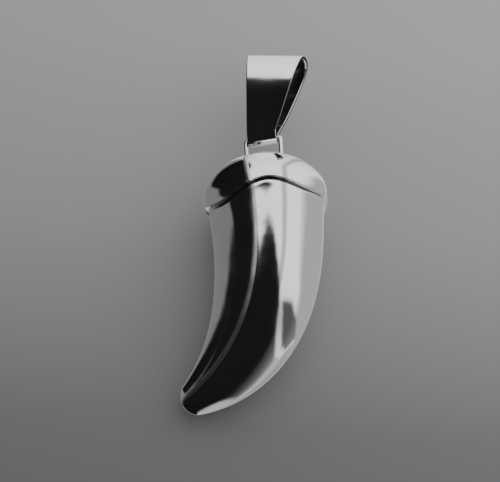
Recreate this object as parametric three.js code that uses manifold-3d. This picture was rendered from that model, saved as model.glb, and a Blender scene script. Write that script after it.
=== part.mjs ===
// A silver horn pendant, lying on its side: a curved hollow horn formed in two halves,
// closed at the wide end by a domed cap that carries a wire loop and a folded strip bail.
// Millimetres, +Z up. The origin is on the surface that the pendant lies on, under its middle.
import * as THREE from "three";
import { mergeVertices } from "three/addons/utils/BufferGeometryUtils.js";
import Module from "manifold-3d";

const wasm = await Module();
wasm.setup();

// The pendant is shaped upright, in its own axes: +Z up to the bail, +Y to the front seam
// and +X to the inside of the bend, with zero at the middle of the horn's wide rim.

// Centre line of the horn
const HORN_DROP = 16.25; // rim to tip, straight down
const HORN_REACH = 8.05; // rim to tip, sideways
const RIM_PULL = 3.8; // how far the line leaves the rim straight down
const TIP_PULL = 9.25; // how far the line runs straight before the tip
const TIP_TURN_DEG = 68; // direction of the line at the tip, from straight down

// Width of the horn along that line
const RIM_RADIUS = 4.86;
const UPPER_PULL = new THREE.Vector2(4.7, 4.22); // distance from the rim, radius
const LOWER_PULL = new THREE.Vector2(11.15, 4.74);
const TIP_RADIUS = 0.99;
const TIP_ROUNDING = 0.8; // length of the rounded end
const BORE_ROUNDING = 0.575; // the same, on the inner face
const HORN_WALL = 0.45;

// Joint between the horn and its cap
const RIM_LIFT = 0.06; // middle height of the rim line
const RIM_WAVE = 0.41; // the rim line rises and dips by this, twice round
const RIM_CREST_DEG = 127.5; // where it rises, from +X towards +Y
const RIM_PEAK = 0.37; // the rim line is drawn to peaks by this, four times round
const RIM_PEAK_DEG = 101.6; // where a peak is, from +X towards +Y
const RIM_WAVE_FADE = 3; // length over which the wave dies out
const SHOULDER_DEPTH = 0.32; // rounded shoulder under the cap, along the horn
const GROOVE_GAP = 0.05; // cap rim to shoulder
const LAP_LENGTH = 1.1; // neck of the horn inside the cap
const LAP_CLEARANCE = 0.04;
const BORE_END = 2.2; // the bore is cut this far above the rim, to open the neck

// Domed cap
const CAP_OVERHANG = 0.25; // cap rim beyond the horn
const CAP_SKIRT = 1; // straight side below the dome
const CAP_HEIGHT = 4.5;
const CAP_FULLNESS = 1.85; // 2 is a round dome, less is more pointed
const CAP_WALL = 0.45;
const CAP_SEAM_LEAN_DEG = 11; // the cap's seam leans to the inside of the bend

// Solder lines
const SEAM_WIDTH = 0.24;
const SOLDER_GAP = 0.02;
const FILLET_HEIGHT = 0.36;
const FILLET_REACH = 0.34; // fillet beyond the wire, at the dome
const FILLET_HOLLOW = 0.4; // share of both, where the fillet is hollow
const FILLET_TOP = 0.15; // share of the reach, at the fillet's top

// Hanging loop
const WIRE_DIAMETER = 0.38;
const LOOP_SPAN = 2.98; // leg to leg, middle to middle
const LOOP_SHIFT = -0.1; // middle of the loop from the middle of the dome, along X
const LOOP_RISE = 1.7; // top of the dome to the middle of the wire
const LOOP_CORNER = 0.26; // bend radius on the wire's middle line
const LOOP_TAIL = 0.7; // wire below the inner face of the dome
const WIRE_HOLE_CLEARANCE = 0.03;

// Bail
const BAIL_LENGTH = 7.5; // middle of the wire to the top
const BAIL_THICKNESS = 0.3;
const BAIL_LEG_SLOPE_DEG = 13; // each leg from the bail's middle plane
const BAIL_LEG_PULL = 6.4; // how far a leg runs nearly straight
const BAIL_TOP_PULL = 1.9; // roundness of the top bend
const BAIL_TOP_WIDTH = 4.85;
const BAIL_WIRE_PLAY = 0.05; // round the wire
const BAIL_SIDE_PLAY = 0.05; // to each leg of the loop
const BAIL_STRAIGHT = 0.4; // height above the wire where the widening and the lean begin
const BAIL_LEAN_DEG = 15; // sideways lean of the upper bail
const BAIL_CROSS_DEG = 10.5; // lean of the lines across its strip
const BAIL_LEAN_END = 2.4; // height from which those lines lean as much
const BAIL_JOINT_HEIGHT = 1.5; // closing joint, up the back leg
const BAIL_JOINT_WIDTH = 0.16;

// How the pendant lies
const REST_TURN_DEG = 6.9; // about the vertical
const REST_TIP_DEG = -84.84; // tipped on to its back
const REST_ROLL_DEG = 164.08; // rolled about its own length

// Fineness
const ROUND_STEPS = 40;
const HORN_STEPS = 16;
const TIP_STEPS = 5;
const DOME_STEPS = 9;
const WIRE_SIDES = 12;
const WIRE_STEPS = 40;
const BEND_STEPS = 5; // points on the horn's shoulder
const BAIL_STEPS = 72; // round the whole bail
const SHORTEST_EDGE = 0.002; // slivers that cuts leave below this are tidied away
const SAME_POINT = 1e-4; // points this near are one
const SEARCH_STEPS = 40; // halvings in the search for a radius
const CUT_STEPS = 4; // steps that a cut runs on past the rim and the tip

const REACH = 40; // larger than the pendant, for cutting blocks
const radians = THREE.MathUtils.degToRad;

// Sizes that follow from those above
const capRadius = RIM_RADIUS + CAP_OVERHANG;
const neckRadius = capRadius - CAP_WALL - LAP_CLEARANCE;
const wireRadius = WIRE_DIAMETER / 2;
const wireHeight = CAP_HEIGHT + LOOP_RISE;
const wrapInner = wireRadius + BAIL_WIRE_PLAY;
const wrapOuter = wrapInner + BAIL_THICKNESS;
const bailEndWidth = LOOP_SPAN - WIRE_DIAMETER - 2 * BAIL_SIDE_PLAY;

const tipTurn = radians(TIP_TURN_DEG);
const centreLine = new THREE.CubicBezierCurve3(
  new THREE.Vector3(0, 0, 0),
  new THREE.Vector3(0, 0, -RIM_PULL),
  new THREE.Vector3(
    HORN_REACH - TIP_PULL * Math.sin(tipTurn),
    0,
    TIP_PULL * Math.cos(tipTurn) - HORN_DROP,
  ),
  new THREE.Vector3(HORN_REACH, 0, -HORN_DROP),
);
const hornLength = centreLine.getLength();
const taper = new THREE.CubicBezierCurve(
  new THREE.Vector2(0, RIM_RADIUS),
  UPPER_PULL,
  LOWER_PULL,
  new THREE.Vector2(hornLength, TIP_RADIUS),
);

// Solids

function toSolid(geometry) {
  const bare = geometry.clone();
  bare.deleteAttribute("normal");
  bare.deleteAttribute("uv");
  const merged = mergeVertices(bare, SAME_POINT);
  return new wasm.Manifold(
    new wasm.Mesh({
      numProp: 3,
      vertProperties: merged.attributes.position.array,
      triVerts: new Uint32Array(merged.index.array),
    }),
  );
}

function toMesh(name, solid, material) {
  const made = solid.simplify(SHORTEST_EDGE).getMesh();
  const geometry = new THREE.BufferGeometry();
  geometry.setAttribute("position", new THREE.BufferAttribute(made.vertProperties, 3));
  geometry.setIndex(new THREE.BufferAttribute(made.triVerts, 1));
  geometry.computeVertexNormals();
  const mesh = new THREE.Mesh(geometry, material);
  mesh.name = name;
  return mesh;
}

// Height of the wavy rim line at an angle from +X towards +Y.
function rimHeight(angle) {
  const wave = RIM_WAVE * Math.cos(2 * (angle - radians(RIM_CREST_DEG)));
  return RIM_LIFT + wave + RIM_PEAK * Math.cos(4 * (angle - radians(RIM_PEAK_DEG)));
}

// The rim's wave at a distance from the rim, fading out smoothly.
function waveAt(angle, distance) {
  const fade = 1 - THREE.MathUtils.smoothstep(Math.abs(distance), 0, RIM_WAVE_FADE);
  return rimHeight(angle) * fade;
}

// A point on the centre line and its direction, at a distance from the rim. The line runs on
// straight above the rim and beyond the tip.
function stationAt(distance) {
  const inside = THREE.MathUtils.clamp(distance / hornLength, 0, 1);
  const direction = centreLine.getTangentAt(inside);
  const point = centreLine.getPointAt(inside);
  point.addScaledVector(direction, distance - inside * hornLength);
  return { point, direction };
}

// A closed round solid whose middle line is bent along the horn. The profile's points are
// (radius, distance from the rim), in the order from the tip up.
function hornSolid(profile) {
  const outline = profile.map(({ x, y }) => new THREE.Vector2(x, -y));
  const geometry = new THREE.LatheGeometry(outline, ROUND_STEPS);
  const position = geometry.attributes.position;
  for (let i = 0; i < position.count; i += 1) {
    const side = position.getX(i);
    const front = -position.getZ(i);
    const distance = -position.getY(i);
    const lifted = distance - waveAt(Math.atan2(front, side), distance);
    const { point, direction } = stationAt(lifted);
    point.x -= direction.z * side;
    point.z += direction.x * side;
    position.setXYZ(i, point.x, front, point.z);
  }
  return toSolid(geometry);
}

// Points of the horn's side, drawn in by a wall and rounded at the end, from the tip up.
function sideProfile(wall, start) {
  const length = hornLength - wall;
  const rounding = wall > 0 ? BORE_ROUNDING : TIP_ROUNDING;
  const points = [];
  for (let i = 0; i < HORN_STEPS; i += 1) {
    const distance = THREE.MathUtils.lerp(start, length - rounding, i / HORN_STEPS);
    points.push(new THREE.Vector2(radiusAt(distance) - wall, distance));
  }
  for (let i = 0; i <= TIP_STEPS; i += 1) {
    const turn = (i / TIP_STEPS) * (Math.PI / 2);
    const distance = length - rounding * (1 - Math.sin(turn));
    const radius = i === TIP_STEPS ? 0 : (radiusAt(distance) - wall) * Math.cos(turn);
    points.push(new THREE.Vector2(radius, distance));
  }
  return points.reverse();
}

// Radius of the horn at a distance from the rim, before the end is rounded.
function radiusAt(distance) {
  let low = 0;
  let high = 1;
  for (let i = 0; i < SEARCH_STEPS; i += 1) {
    const middle = (low + high) / 2;
    if (taper.getPoint(middle).x < distance) low = middle;
    else high = middle;
  }
  return taper.getPoint(low).y;
}

function hornShell() {
  const outside = sideProfile(0, GROOVE_GAP + SHOULDER_DEPTH);
  const shoulder = radiusAt(0) - neckRadius;
  for (let i = BEND_STEPS - 1; i >= 0; i -= 1) {
    const turn = (i / BEND_STEPS) * (Math.PI / 2);
    const radius = neckRadius + shoulder * Math.sin(turn);
    const distance = GROOVE_GAP + SHOULDER_DEPTH * (1 - Math.cos(turn));
    outside.push(new THREE.Vector2(radius, distance));
  }
  outside.push(new THREE.Vector2(neckRadius, -LAP_LENGTH));
  outside.push(new THREE.Vector2(0, -LAP_LENGTH));

  const inside = sideProfile(HORN_WALL, GROOVE_GAP + SHOULDER_DEPTH + HORN_WALL);
  const bore = neckRadius - HORN_WALL;
  inside.push(new THREE.Vector2(bore, GROOVE_GAP + SHOULDER_DEPTH / 2));
  inside.push(new THREE.Vector2(bore, -BORE_END));
  inside.push(new THREE.Vector2(0, -BORE_END));
  return hornSolid(outside)
    .subtract(hornSolid(inside))
    .subtract(domeShell(CAP_WALL + LAP_CLEARANCE));
}

// A block on one side of the curved surface that runs from front to back through the centre
// line: side 1 is the inside of the bend and -1 the outside, and it stops short by a margin.
function bendBlock(side, margin) {
  const points = [];
  for (let i = -CUT_STEPS; i <= HORN_STEPS + CUT_STEPS; i += 1) {
    const { point, direction } = stationAt((i / HORN_STEPS) * hornLength);
    const x = point.x - direction.z * margin * side;
    const z = point.z + direction.x * margin * side;
    points.push(new THREE.Vector2(x, z));
  }
  const first = points[0];
  const last = points[points.length - 1];
  if (side > 0) {
    points.push(new THREE.Vector2(REACH, last.y));
    points.push(new THREE.Vector2(REACH, first.y));
  } else {
    points.push(new THREE.Vector2(last.x, -REACH));
    points.push(new THREE.Vector2(-REACH, -REACH));
    points.push(new THREE.Vector2(-REACH, first.y));
  }
  const geometry = new THREE.ExtrudeGeometry(new THREE.Shape(points), {
    depth: REACH,
    bevelEnabled: false,
  });
  geometry.translate(0, 0, -REACH / 2);
  geometry.rotateX(Math.PI / 2);
  return toSolid(geometry);
}

// The dome of the cap, drawn in by a wall, with its lower edge on the wavy rim line and a
// cutting depth below it.
function domeSolid(wall, below) {
  const radius = capRadius - wall;
  const rise = CAP_HEIGHT - wall - CAP_SKIRT;
  const power = 2 / CAP_FULLNESS;
  const profile = [new THREE.Vector2(0, -below), new THREE.Vector2(radius, -below)];
  for (let i = 0; i <= DOME_STEPS; i += 1) {
    const turn = (i / DOME_STEPS) * (Math.PI / 2);
    const x = i === DOME_STEPS ? 0 : radius * Math.cos(turn) ** power;
    profile.push(new THREE.Vector2(x, CAP_SKIRT + rise * Math.sin(turn) ** power));
  }
  const geometry = new THREE.LatheGeometry(profile, ROUND_STEPS);
  geometry.rotateX(Math.PI / 2);
  const position = geometry.attributes.position;
  for (let i = 0; i < position.count; i += 1) {
    const angle = Math.atan2(position.getY(i), position.getX(i));
    const z = position.getZ(i);
    position.setZ(i, z + waveAt(angle, Math.max(z, 0)));
  }
  return toSolid(geometry);
}

function upright(radius, low, high, x) {
  const geometry = new THREE.CylinderGeometry(radius, radius, high - low, WIRE_SIDES);
  geometry.rotateX(Math.PI / 2);
  geometry.translate(x, 0, (low + high) / 2);
  return toSolid(geometry);
}

const legs = { left: LOOP_SHIFT + LOOP_SPAN / 2, right: LOOP_SHIFT - LOOP_SPAN / 2 };

// Height of the dome's face above a point at a distance from its middle.
function domeFace(distance, wall) {
  const share = (distance / (capRadius - wall)) ** CAP_FULLNESS;
  return CAP_SKIRT + (CAP_HEIGHT - wall - CAP_SKIRT) * (1 - share) ** (1 / CAP_FULLNESS);
}

// The dome of the cap, hollow, with a wall of a thickness.
function domeShell(wall) {
  return domeSolid(0, 0).subtract(domeSolid(wall, CAP_HEIGHT));
}

function capShell() {
  let shell = domeShell(CAP_WALL);
  for (const x of Object.values(legs)) {
    shell = shell.subtract(upright(wireRadius + WIRE_HOLE_CLEARANCE, 0, wireHeight, x));
  }
  return shell;
}

// A block on one side of the cap's leaning seam.
function capBlock(side, margin) {
  const geometry = new THREE.BoxGeometry(REACH, REACH, REACH);
  geometry.translate(side * (REACH / 2 + margin), 0, 0);
  geometry.rotateY(radians(CAP_SEAM_LEAN_DEG));
  return toSolid(geometry);
}

function loopGeometry() {
  const foot = domeFace(LOOP_SPAN / 2, CAP_WALL) - LOOP_TAIL;
  const half = LOOP_SPAN / 2;
  const at = (x, z) => new THREE.Vector3(LOOP_SHIFT + x, 0, z);
  const path = new THREE.CurvePath();
  path.add(new THREE.LineCurve3(at(half, foot), at(half, wireHeight - LOOP_CORNER)));
  path.add(
    new THREE.QuadraticBezierCurve3(
      at(half, wireHeight - LOOP_CORNER),
      at(half, wireHeight),
      at(half - LOOP_CORNER, wireHeight),
    ),
  );
  path.add(
    new THREE.LineCurve3(at(half - LOOP_CORNER, wireHeight), at(LOOP_CORNER - half, wireHeight)),
  );
  path.add(
    new THREE.QuadraticBezierCurve3(
      at(LOOP_CORNER - half, wireHeight),
      at(-half, wireHeight),
      at(-half, wireHeight - LOOP_CORNER),
    ),
  );
  path.add(new THREE.LineCurve3(at(-half, wireHeight - LOOP_CORNER), at(-half, foot)));
  const section = new THREE.Shape();
  section.absarc(0, 0, wireRadius, 0, 2 * Math.PI);
  return new THREE.ExtrudeGeometry(section, {
    curveSegments: WIRE_SIDES / 2,
    steps: WIRE_STEPS,
    extrudePath: path,
  });
}

// A ring of solder in the corner between one leg and the dome.
function filletSolid(x) {
  const face = domeFace(Math.abs(x), 0);
  const profile = [
    new THREE.Vector2(0, face - CAP_WALL),
    new THREE.Vector2(wireRadius + FILLET_REACH, face - CAP_WALL),
    new THREE.Vector2(wireRadius + FILLET_REACH, face),
    new THREE.Vector2(
      wireRadius + FILLET_REACH * FILLET_HOLLOW,
      face + FILLET_HEIGHT * FILLET_HOLLOW,
    ),
    new THREE.Vector2(wireRadius + FILLET_REACH * FILLET_TOP, face + FILLET_HEIGHT),
    new THREE.Vector2(0, face + FILLET_HEIGHT),
  ];
  const geometry = new THREE.LatheGeometry(profile, WIRE_SIDES);
  geometry.rotateX(Math.PI / 2);
  geometry.translate(x, 0, 0);
  return toSolid(geometry)
    .subtract(domeSolid(-SOLDER_GAP, 0))
    .subtract(upright(wireRadius + SOLDER_GAP, 0, wireHeight, x));
}

// The bail from the side, as (front, height above the wire): the outer face of its front leg.
const legSlope = radians(BAIL_LEG_SLOPE_DEG);
const legFoot = new THREE.Vector2(
  wrapOuter * Math.cos(legSlope),
  -wrapOuter * Math.sin(legSlope),
);
const legUp = new THREE.Vector2(Math.sin(legSlope), Math.cos(legSlope));
const leg = new THREE.CubicBezierCurve(
  legFoot,
  legFoot.clone().addScaledVector(legUp, BAIL_LEG_PULL),
  new THREE.Vector2(BAIL_TOP_PULL, BAIL_LENGTH),
  new THREE.Vector2(0, BAIL_LENGTH),
);
const legLength = leg.getLength();
const bailRound = 2 * legLength + wrapOuter * (Math.PI - 2 * legSlope);

// A point of the bail's outer face and the direction into the strip, at a distance along the
// strip: up the front leg, over the top, down the back leg and round the wire.
function bailStation(distance) {
  const along = distance % bailRound;
  if (along > 2 * legLength) {
    const turn = Math.PI + legSlope + (along - 2 * legLength) / wrapOuter;
    const outward = new THREE.Vector2(Math.cos(turn), Math.sin(turn));
    return { point: outward.clone().multiplyScalar(wrapOuter), inward: outward.negate() };
  }
  const share = 1 - Math.abs(along - legLength) / legLength;
  const side = along > legLength ? -1 : 1;
  const { x, y } = leg.getPointAt(share);
  const direction = leg.getTangentAt(share);
  return {
    point: new THREE.Vector2(side * x, y),
    inward: new THREE.Vector2(-side * direction.y, direction.x),
  };
}

// A stretch of the folded strip: as wide as the taper says at each height, and leaning over.
function stripSolid(start, length, steps) {
  const lean = radians(BAIL_LEAN_DEG);
  const cross = radians(BAIL_CROSS_DEG);
  const geometry = new THREE.BoxGeometry(1, 1, 1, 1, 1, steps);
  const position = geometry.attributes.position;
  for (let i = 0; i < position.count; i += 1) {
    const across = position.getX(i);
    const depth = (0.5 - position.getY(i)) * BAIL_THICKNESS;
    const { point, inward } = bailStation(start + (position.getZ(i) + 0.5) * length);
    point.addScaledVector(inward, depth);
    const above = Math.max(point.y - BAIL_STRAIGHT, 0);
    const share = above / (BAIL_LENGTH - BAIL_STRAIGHT);
    const width = THREE.MathUtils.lerp(bailEndWidth, BAIL_TOP_WIDTH, share);
    const turn = cross * THREE.MathUtils.smoothstep(point.y, BAIL_STRAIGHT, BAIL_LEAN_END);
    const x = across * width * Math.cos(turn) - above * Math.sin(lean);
    const z = point.y - above * (1 - Math.cos(lean)) + across * width * Math.sin(turn);
    position.setXYZ(i, x + LOOP_SHIFT, point.x, z + wireHeight);
  }
  return toSolid(geometry);
}

// Materials

const silver = new THREE.MeshStandardMaterial({
  color: 0xd2d3d6,
  roughness: 0.1,
  metalness: 1,
});
const solder = new THREE.MeshStandardMaterial({
  color: 0xb9babd,
  roughness: 0.3,
  metalness: 1,
});

// Pieces

const pendant = new THREE.Group();

const shell = hornShell();
const stripMargin = SEAM_WIDTH / 2 - SOLDER_GAP;
pendant.add(
  toMesh("horn_inner_half", shell.intersect(bendBlock(1, SEAM_WIDTH / 2)), silver),
  toMesh("horn_outer_half", shell.intersect(bendBlock(-1, SEAM_WIDTH / 2)), silver),
  toMesh(
    "horn_seam_solder",
    shell.subtract(bendBlock(1, stripMargin)).subtract(bendBlock(-1, stripMargin)),
    solder,
  ),
);

const cap = capShell();
pendant.add(
  toMesh("cap_inner_half", cap.intersect(capBlock(1, SEAM_WIDTH / 2)), silver),
  toMesh("cap_outer_half", cap.intersect(capBlock(-1, SEAM_WIDTH / 2)), silver),
  toMesh(
    "cap_seam_solder",
    cap.subtract(capBlock(1, stripMargin)).subtract(capBlock(-1, stripMargin)),
    solder,
  ),
);

const loop = toSolid(loopGeometry());
pendant.add(toMesh("hanging_loop", loop, silver));
for (const [side, x] of Object.entries(legs)) {
  pendant.add(toMesh("loop_solder_" + side, filletSolid(x), solder));
}

const joint = 2 * legLength - BAIL_JOINT_HEIGHT;
const bail = stripSolid(joint + BAIL_JOINT_WIDTH / 2, bailRound - BAIL_JOINT_WIDTH, BAIL_STEPS);
const fill = BAIL_JOINT_WIDTH - 2 * SOLDER_GAP;
pendant.add(
  toMesh("bail", bail, silver),
  toMesh("bail_solder", stripSolid(joint - fill / 2, fill, 1), solder),
);

// Lying down: rolled about its own length, tipped back, and turned

pendant.rotation.z = radians(REST_ROLL_DEG);
const tipped = new THREE.Group();
tipped.rotation.x = radians(REST_TIP_DEG);
tipped.add(pendant);
const turned = new THREE.Group();
turned.rotation.z = radians(REST_TURN_DEG);
turned.add(tipped);

const part = new THREE.Group();
part.add(turned);
const extent = new THREE.Box3().setFromObject(part, true);
const middle = extent.getCenter(new THREE.Vector3());
turned.position.set(-middle.x, -middle.y, -extent.min.z);

export default part;
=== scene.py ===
"""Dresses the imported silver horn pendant: its fine pieces, their finishes and the stage."""

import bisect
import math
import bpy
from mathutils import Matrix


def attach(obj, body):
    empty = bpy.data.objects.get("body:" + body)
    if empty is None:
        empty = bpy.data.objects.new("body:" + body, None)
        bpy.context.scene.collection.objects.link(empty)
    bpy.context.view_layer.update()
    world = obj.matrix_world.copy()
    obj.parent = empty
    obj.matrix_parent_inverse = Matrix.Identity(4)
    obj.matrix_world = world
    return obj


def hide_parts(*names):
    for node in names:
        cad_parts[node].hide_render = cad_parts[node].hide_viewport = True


bl_info = {
    "name": "Silver horn pendant",
    "version": (1, 0, 0),
    "blender": (4, 5, 0),
    "location": "3D View > Sidebar > Pendant",
    "description": "Models the pieces of a polished silver horn pendant and the table it lies on",
    "category": "Object",
}

import bmesh
import bpy
from bpy.props import FloatProperty, FloatVectorProperty, PointerProperty
from mathutils import Matrix, Vector

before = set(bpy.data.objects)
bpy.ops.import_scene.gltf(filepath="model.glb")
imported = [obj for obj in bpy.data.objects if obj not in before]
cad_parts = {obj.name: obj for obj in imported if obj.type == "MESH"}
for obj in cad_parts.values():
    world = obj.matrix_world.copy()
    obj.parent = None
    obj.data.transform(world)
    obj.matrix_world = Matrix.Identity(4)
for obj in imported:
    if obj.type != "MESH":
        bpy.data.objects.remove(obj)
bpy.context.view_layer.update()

# Steps of the fine meshes
ROUND_STEPS = 240
HORN_STEPS, HORN_TIP_STEPS, SHOULDER_STEPS = 110, 20, 9
BORE_STEPS, BORE_TIP_STEPS = 40, 8
CROWN_STEPS, SEAM_TIP_STEPS, CAP_SEAM_STEPS = 10, 24, 140
DOME_STEPS, INNER_DOME_STEPS, RIM_STEPS = 48, 24, 6
WIRE_SIDES, LEG_STEPS, TOP_STEPS, CORNER_STEPS = 32, 24, 20, 12
FILLET_STEPS, FILLET_SIDES = 12, 48
STRIP_STEPS, JOINT_STEPS, EDGE_STEPS = 320, 4, 4

# Steps of the curves and of the searches along them
CURVE_STEPS = 400
TAPER_SEARCH, WAVE_SEARCH, DOME_SEARCH = 30, 4, 22

# How the neck draws in: shares of its radius at shares of its length
NECK_SHAPE = ((1, 1 / 3), (0.99, 2 / 3), (0.968, 1))

# The core of a solder fillet: its radius as a share of the wire's, and how far it goes down
FILLET_CORE, FILLET_DEPTH = 0.6, 0.0001

# Where lines run along the strip's faces, as shares of its width
STRIP_LINES = (0.03, 0.2, 0.5, 0.8, 0.97)

# Sizes of the marks on the metal, as marks to the metre
HAZE_SCALE, SCRATCH_SCALE, UNEVENNESS_SCALE = 260, 1500, 420


def length(name, description, default):
    return FloatProperty(
        name=name, description=description, default=default, unit="LENGTH", precision=5
    )


def angle(name, description, default):
    return FloatProperty(
        name=name, description=description, default=math.radians(default), subtype="ANGLE"
    )


def share(name, description, default):
    return FloatProperty(
        name=name, description=description, default=default, min=0, max=1, subtype="FACTOR"
    )


def colour(name, description, default):
    return FloatVectorProperty(
        name=name, description=description, default=default, min=0, max=1, subtype="COLOR"
    )


class HornSizes(bpy.types.PropertyGroup):
    drop: length("Drop", "From the rim straight down to the tip", 0.01625)
    reach: length("Reach", "From the rim sideways to the tip", 0.00805)
    rim_pull: length("Pull at the rim", "How far the middle line leaves the rim straight", 0.0038)
    tip_pull: length("Pull at the tip", "How far it runs straight before the tip", 0.00925)
    tip_turn: angle("Turn", "Direction of the tip from straight down", 68)
    rim_radius: length("Rim radius", "Radius under the cap", 0.00486)
    upper_place: length("Upper place", "Where the upper taper is set", 0.0047)
    upper_radius: length("Upper radius", "Pull of the upper taper", 0.00422)
    lower_place: length("Lower place", "Where the lower taper is set", 0.01115)
    lower_radius: length("Lower radius", "Pull of the lower taper", 0.00474)
    tip_radius: length("Tip radius", "Radius at the tip before it is rounded", 0.00099)
    rounding: length("Rounding", "Length of the rounded tip", 0.0008)
    wall: length("Wall", "Thickness of the formed silver", 0.00045)
    groove: length("Groove", "Open gap under the cap's rim", 0.00005)
    shoulder: length("Shoulder", "Rounded shoulder under the cap, along the horn", 0.00032)
    neck_radius: length("Neck radius", "Radius of the neck inside the cap", 0.00462)
    neck: length("Neck", "Length of the neck inside the cap", 0.0011)


class CapSizes(bpy.types.PropertyGroup):
    radius: length("Radius", "Radius of the cap's rim", 0.00511)
    height: length("Height", "Height of the dome", 0.0045)
    skirt: length("Skirt", "Straight side below the dome", 0.001)
    wall: length("Wall", "Thickness of the cap", 0.00045)
    rim_rounding: length("Rim rounding", "Rounding of the rim's edge", 0.00006)
    lift: length("Rim lift", "Middle height of the wavy rim line", 0.00006)
    wave: length("Rim wave", "How far the rim line rises and dips, twice round", 0.00041)
    crest: angle("Rim crest", "Where the rim line rises", 127.5)
    peak: length("Rim peak", "How far the rim line is drawn to peaks, four times round", 0.00037)
    peak_turn: angle("Rim peak place", "Where a peak is", 101.6)
    fade: length("Wave fade", "Length over which the wave dies out", 0.003)
    lean: angle("Seam lean", "Lean of the cap's seam", 11)
    fullness: FloatProperty(
        name="Fullness", description="2 is a round dome, less is more pointed", default=1.85
    )


class LoopSizes(bpy.types.PropertyGroup):
    wire: length("Wire", "Diameter of the wire", 0.00038)
    span: length("Span", "Leg to leg, middle to middle", 0.00298)
    shift: length("Shift", "Middle of the loop from the middle of the dome", -0.0001)
    rise: length("Rise", "Top of the dome to the middle of the wire", 0.0017)
    corner: length("Corner", "Bend of the wire's middle line", 0.00026)
    tail: length("Tail", "Wire inside the dome", 0.0007)
    fillet_height: length("Fillet height", "Solder up the wire", 0.00036)
    fillet_reach: length("Fillet reach", "Solder out over the dome", 0.00034)


class BailSizes(bpy.types.PropertyGroup):
    length: length("Length", "Middle of the wire to the top", 0.0075)
    thickness: length("Thickness", "Thickness of the strip", 0.0003)
    slope: angle("Leg slope", "Each leg from the middle plane", 13)
    leg_pull: length("Leg pull", "How far a leg runs nearly straight", 0.0064)
    top_pull: length("Top pull", "Roundness of the top bend", 0.0019)
    top_width: length("Top width", "Width of the strip at the top", 0.00485)
    foot_width: length("Foot width", "Width of the strip at the wire", 0.0025)
    wire_play: length("Wire play", "Gap round the wire", 0.00005)
    straight: length("Straight", "Height above the wire where the strip widens", 0.0004)
    lean: angle("Lean", "Sideways lean of the upper bail", 15)
    cross: angle("Cross lean", "Lean of the lines across the strip", 10.5)
    lean_end: length("Lean end", "Height from which those lines lean as much", 0.0024)
    joint_height: length("Joint height", "Closing joint up the back leg", 0.0015)
    joint_width: length("Joint width", "Width of the closing joint", 0.00016)
    edge: length("Edge", "Rounding of the strip's edges", 0.00005)


class SeamSizes(bpy.types.PropertyGroup):
    width: length("Width", "Width of a solder line", 0.00024)
    gap: length("Gap", "Gap on each side of the solder", 0.00002)
    bead: length("Bead", "Width of the solder where it stands proud", 0.00044)
    crown: length("Crown", "How far the solder stands proud", 0.000022)


class LyingPlace(bpy.types.PropertyGroup):
    rim_middle: FloatVectorProperty(
        name="Rim middle",
        description="Middle of the horn's rim above the table",
        default=(0.00046942, 0.00192393, 0.00505554),
        subtype="TRANSLATION",
        precision=6,
    )
    turn: angle("Turn", "Turned about the vertical", 6.9)
    tip: angle("Tip", "Tipped on to its back", -84.84)
    roll: angle("Roll", "Rolled about its own length", 164.08)


class Finishes(bpy.types.PropertyGroup):
    silver: colour("Silver", "Colour of the polished silver", (0.93, 0.93, 0.94))
    silver_gloss: share("Silver roughness", "Roughness of the polish", 0.075)
    silver_haze: share("Silver haze", "Dulling of the silver in patches", 0.12)
    silver_scratches: share("Silver scratches", "Roughness that fine scratches add", 0.04)
    silver_unevenness: length("Silver unevenness", "Height of the soft waves", 0.000018)
    solder: colour("Solder", "Colour of the solder", (0.78, 0.78, 0.79))
    solder_gloss: share("Solder roughness", "Roughness of the solder", 0.28)
    solder_haze: share("Solder haze", "Dulling of the solder in patches", 0.5)
    solder_scratches: share("Solder scratches", "Roughness that fine scratches add", 0.1)
    solder_unevenness: length("Solder unevenness", "Height of the soft waves", 0.00008)
    table: colour("Table", "Colour of the matte table", (0.5, 0.5, 0.5))


SETTINGS = {
    "horn_sizes": HornSizes,
    "cap_sizes": CapSizes,
    "loop_sizes": LoopSizes,
    "bail_sizes": BailSizes,
    "seam_sizes": SeamSizes,
    "lying_place": LyingPlace,
    "finishes": Finishes,
}


def smooth_step(value, low, high):
    inside = min(max((value - low) / (high - low), 0), 1)
    return inside * inside * (3 - 2 * inside)


def rim_wave(cap, turn, distance):
    """Height of the wavy rim line, fading with the distance from the rim."""
    height = cap.lift + cap.wave * math.cos(2 * (turn - cap.crest))
    height += cap.peak * math.cos(4 * (turn - cap.peak_turn))
    return height * (1 - smooth_step(abs(distance), 0, cap.fade))


class Line:
    """A cubic curve that is read by length."""

    def __init__(self, *pulls):
        self.pulls = [Vector(pull) for pull in pulls]
        self.lengths = [0.0]
        before = self.pulls[0]
        for i in range(1, CURVE_STEPS + 1):
            point, _ = self.cubic(i / CURVE_STEPS)
            self.lengths.append(self.lengths[-1] + (point - before).length)
            before = point
        self.length = self.lengths[-1]

    def cubic(self, part):
        a, b, c, d = self.pulls
        rest = 1 - part
        point = a * rest**3 + b * (3 * rest * rest * part) + c * (3 * rest * part * part)
        slope = (b - a) * (rest * rest) + (c - b) * (2 * rest * part) + (d - c) * part**2
        return point + d * part**3, slope.normalized()

    def at(self, distance):
        inside = min(max(distance, 0), self.length)
        place = min(max(bisect.bisect(self.lengths, inside), 1), CURVE_STEPS)
        low, high = self.lengths[place - 1], self.lengths[place]
        part = (place - 1 + (inside - low) / (high - low)) / CURVE_STEPS
        point, direction = self.cubic(part)
        return point + direction * (distance - inside), direction


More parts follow.
